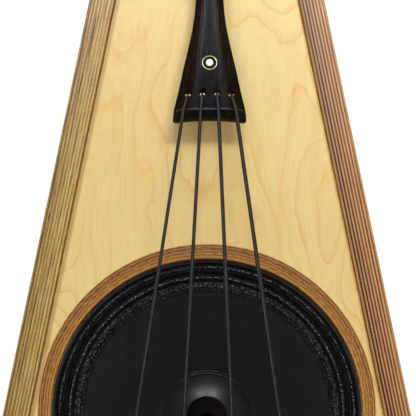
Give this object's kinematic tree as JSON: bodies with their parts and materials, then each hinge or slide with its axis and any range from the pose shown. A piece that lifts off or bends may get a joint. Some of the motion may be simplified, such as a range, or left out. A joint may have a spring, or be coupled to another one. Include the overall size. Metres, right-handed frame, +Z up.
{
  "type": "electric double bass",
  "caption": "Wedge-bodied electric upright bass: plywood box with a woofer in its front, ebony tailpiece, bridge, long neck, scroll with worm tuners, and an endpin.",
  "frame": {"origin": "tip of the endpin, where it stands on the floor, with the endpin set 130 mm out", "axes": "+Z up the strings from the tailpiece to the scroll, -Y out of the front plate towards the player's bow, +X to the right as seen from the front"},
  "size_m": [0.4492, 0.2683, 1.947],
  "materials": {
    "birch_ply": "clear satin lacquer on birch plywood",
    "ebony": "oiled and buffed",
    "maple": "oiled maple",
    "string_black": "black nylon tape wound",
    "brass": "brushed and lacquered",
    "pearl": "white pearl",
    "steel": "satin",
    "ball_brass": "bare brass",
    "rubber": "matt black",
    "surround_rubber": "tacky doped accordion cloth",
    "cone_paper": "matt charcoal pulp",
    "cap_paper": "smooth charcoal",
    "basket_paint": "black powder coat",
    "coil": "copper wire on an aluminium former",
    "spider_cloth": "amber resin-stiffened cloth",
    "ferrite": "ground ferrite",
    "magnet_steel": "zinc plated",
    "amp_paint": "black powder coat",
    "knob_plastic": "fine matt black",
    "socket_chrome": "bright",
    "rocker_plastic": "gloss black",
    "inlet_plastic": "matt black",
    "pickup_brass": "thin brass and piezo strip"
  },
  "bodies": {
    "body": {"side_left": "birch_ply", "side_right": "birch_ply", "tail_panel": "birch_ply", "shoulder_panel": "birch_ply", "front_plate": "birch_ply", "speaker_baffle": "birch_ply", "back_panel": "birch_ply", "inner_blocks": "birch_ply", "panel_screws": "steel", "woofer_basket": "basket_paint", "woofer_bolts": "steel", "woofer_gasket": "rubber", "woofer_surround": "surround_rubber", "spider": "spider_cloth", "magnet_plates": "magnet_steel", "magnet_ring": "ferrite", "tailpiece": "ebony", "tailpiece_fret": "ebony", "eye_ring": "brass", "eye_dot": "pearl", "ball_ends": "ball_brass", "tail_wire": "steel", "saddle": "ebony", "endpin_collar": "ebony", "bridge": "maple", "bridge_pickup": "pickup_brass", "fingerboard": "ebony", "neck": "maple", "nut": "ebony", "scroll_head": "maple", "tuner_plates": "brass", "amp_plate": "amp_paint", "jack_socket": "socket_chrome", "switch_frame": "inlet_plastic", "mains_inlet": "inlet_plastic", "string_e": "string_black", "string_a": "string_black", "string_d": "string_black", "string_g": "string_black"},
    "endpin": {"endpin_rod": "steel", "endpin_tip": "rubber"},
    "thumbscrew": {"endpin_thumbscrew": "brass"},
    "cone": {"woofer_cone": "cone_paper", "dust_cap": "cap_paper", "voice_coil": "coil"},
    "volume": {"volume_knob": "knob_plastic"},
    "tone": {"tone_knob": "knob_plastic"},
    "rocker": {"power_switch": "rocker_plastic"},
    "key_e": {"tuner_key_e": "brass"},
    "roller_e": {"tuner_roller_e": "brass", "string_winding_e": "string_black"},
    "key_a": {"tuner_key_a": "brass"},
    "roller_a": {"tuner_roller_a": "brass", "string_winding_a": "string_black"},
    "key_d": {"tuner_key_d": "brass"},
    "roller_d": {"tuner_roller_d": "brass", "string_winding_d": "string_black"},
    "key_g": {"tuner_key_g": "brass"},
    "roller_g": {"tuner_roller_g": "brass", "string_winding_g": "string_black"}
  },
  "joints": [
    {"name": "endpin_slide", "type": "slide", "parent": "body", "child": "endpin", "axis": [0, 0, -1], "range_m": [-0.08, 0.14]},
    {"name": "thumbscrew_turn", "type": "hinge", "parent": "body", "child": "thumbscrew", "pos_m": [0.005, 0, 0.115], "axis": [1, 0, 0], "range_deg": [0, 360]},
    {"name": "cone_travel", "type": "slide", "parent": "body", "child": "cone", "axis": [0, 1, 0], "range_m": [-0.004, 0.004], "stiffness_N_per_m": 1500},
    {"name": "volume_turn", "type": "hinge", "parent": "body", "child": "volume", "pos_m": [-0.025, 0.082, 0.385], "axis": [0, 1, 0], "range_deg": [-150, 150]},
    {"name": "tone_turn", "type": "hinge", "parent": "body", "child": "tone", "pos_m": [0.025, 0.082, 0.385], "axis": [0, 1, 0], "range_deg": [-150, 150]},
    {"name": "rocker_tilt", "type": "hinge", "parent": "body", "child": "rocker", "pos_m": [0.022, 0.08, 0.345], "axis": [0, 0, 1], "range_deg": [-14, 0]},
    {"name": "key_e_turn", "type": "hinge", "parent": "body", "child": "key_e", "pos_m": [-0.036, -0.0614, 1.75835], "axis": [0, 1, 0], "continuous": true},
    {"name": "roller_e_turn", "type": "hinge", "parent": "body", "child": "roller_e", "pos_m": [0, -0.0614, 1.74], "axis": [1, 0, 0], "continuous": true},
    {"name": "key_a_turn", "type": "hinge", "parent": "body", "child": "key_a", "pos_m": [-0.036, -0.0466, 1.83235], "axis": [0, 1, 0], "continuous": true},
    {"name": "roller_a_turn", "type": "hinge", "parent": "body", "child": "roller_a", "pos_m": [0, -0.0466, 1.814], "axis": [1, 0, 0], "continuous": true},
    {"name": "key_d_turn", "type": "hinge", "parent": "body", "child": "key_d", "pos_m": [0.036, -0.0392, 1.86935], "axis": [0, 1, 0], "continuous": true},
    {"name": "roller_d_turn", "type": "hinge", "parent": "body", "child": "roller_d", "pos_m": [0, -0.0392, 1.851], "axis": [1, 0, 0], "continuous": true},
    {"name": "key_g_turn", "type": "hinge", "parent": "body", "child": "key_g", "pos_m": [0.036, -0.054, 1.79535], "axis": [0, 1, 0], "continuous": true},
    {"name": "roller_g_turn", "type": "hinge", "parent": "body", "child": "roller_g", "pos_m": [0, -0.054, 1.777], "axis": [1, 0, 0], "continuous": true}
  ],
  "couplings": [
    {"joint": "roller_e_turn", "follows": "key_e_turn", "ratio": -0.05},
    {"joint": "roller_a_turn", "follows": "key_a_turn", "ratio": -0.05},
    {"joint": "roller_d_turn", "follows": "key_d_turn", "ratio": 0.05},
    {"joint": "roller_g_turn", "follows": "key_g_turn", "ratio": 0.05}
  ]
}
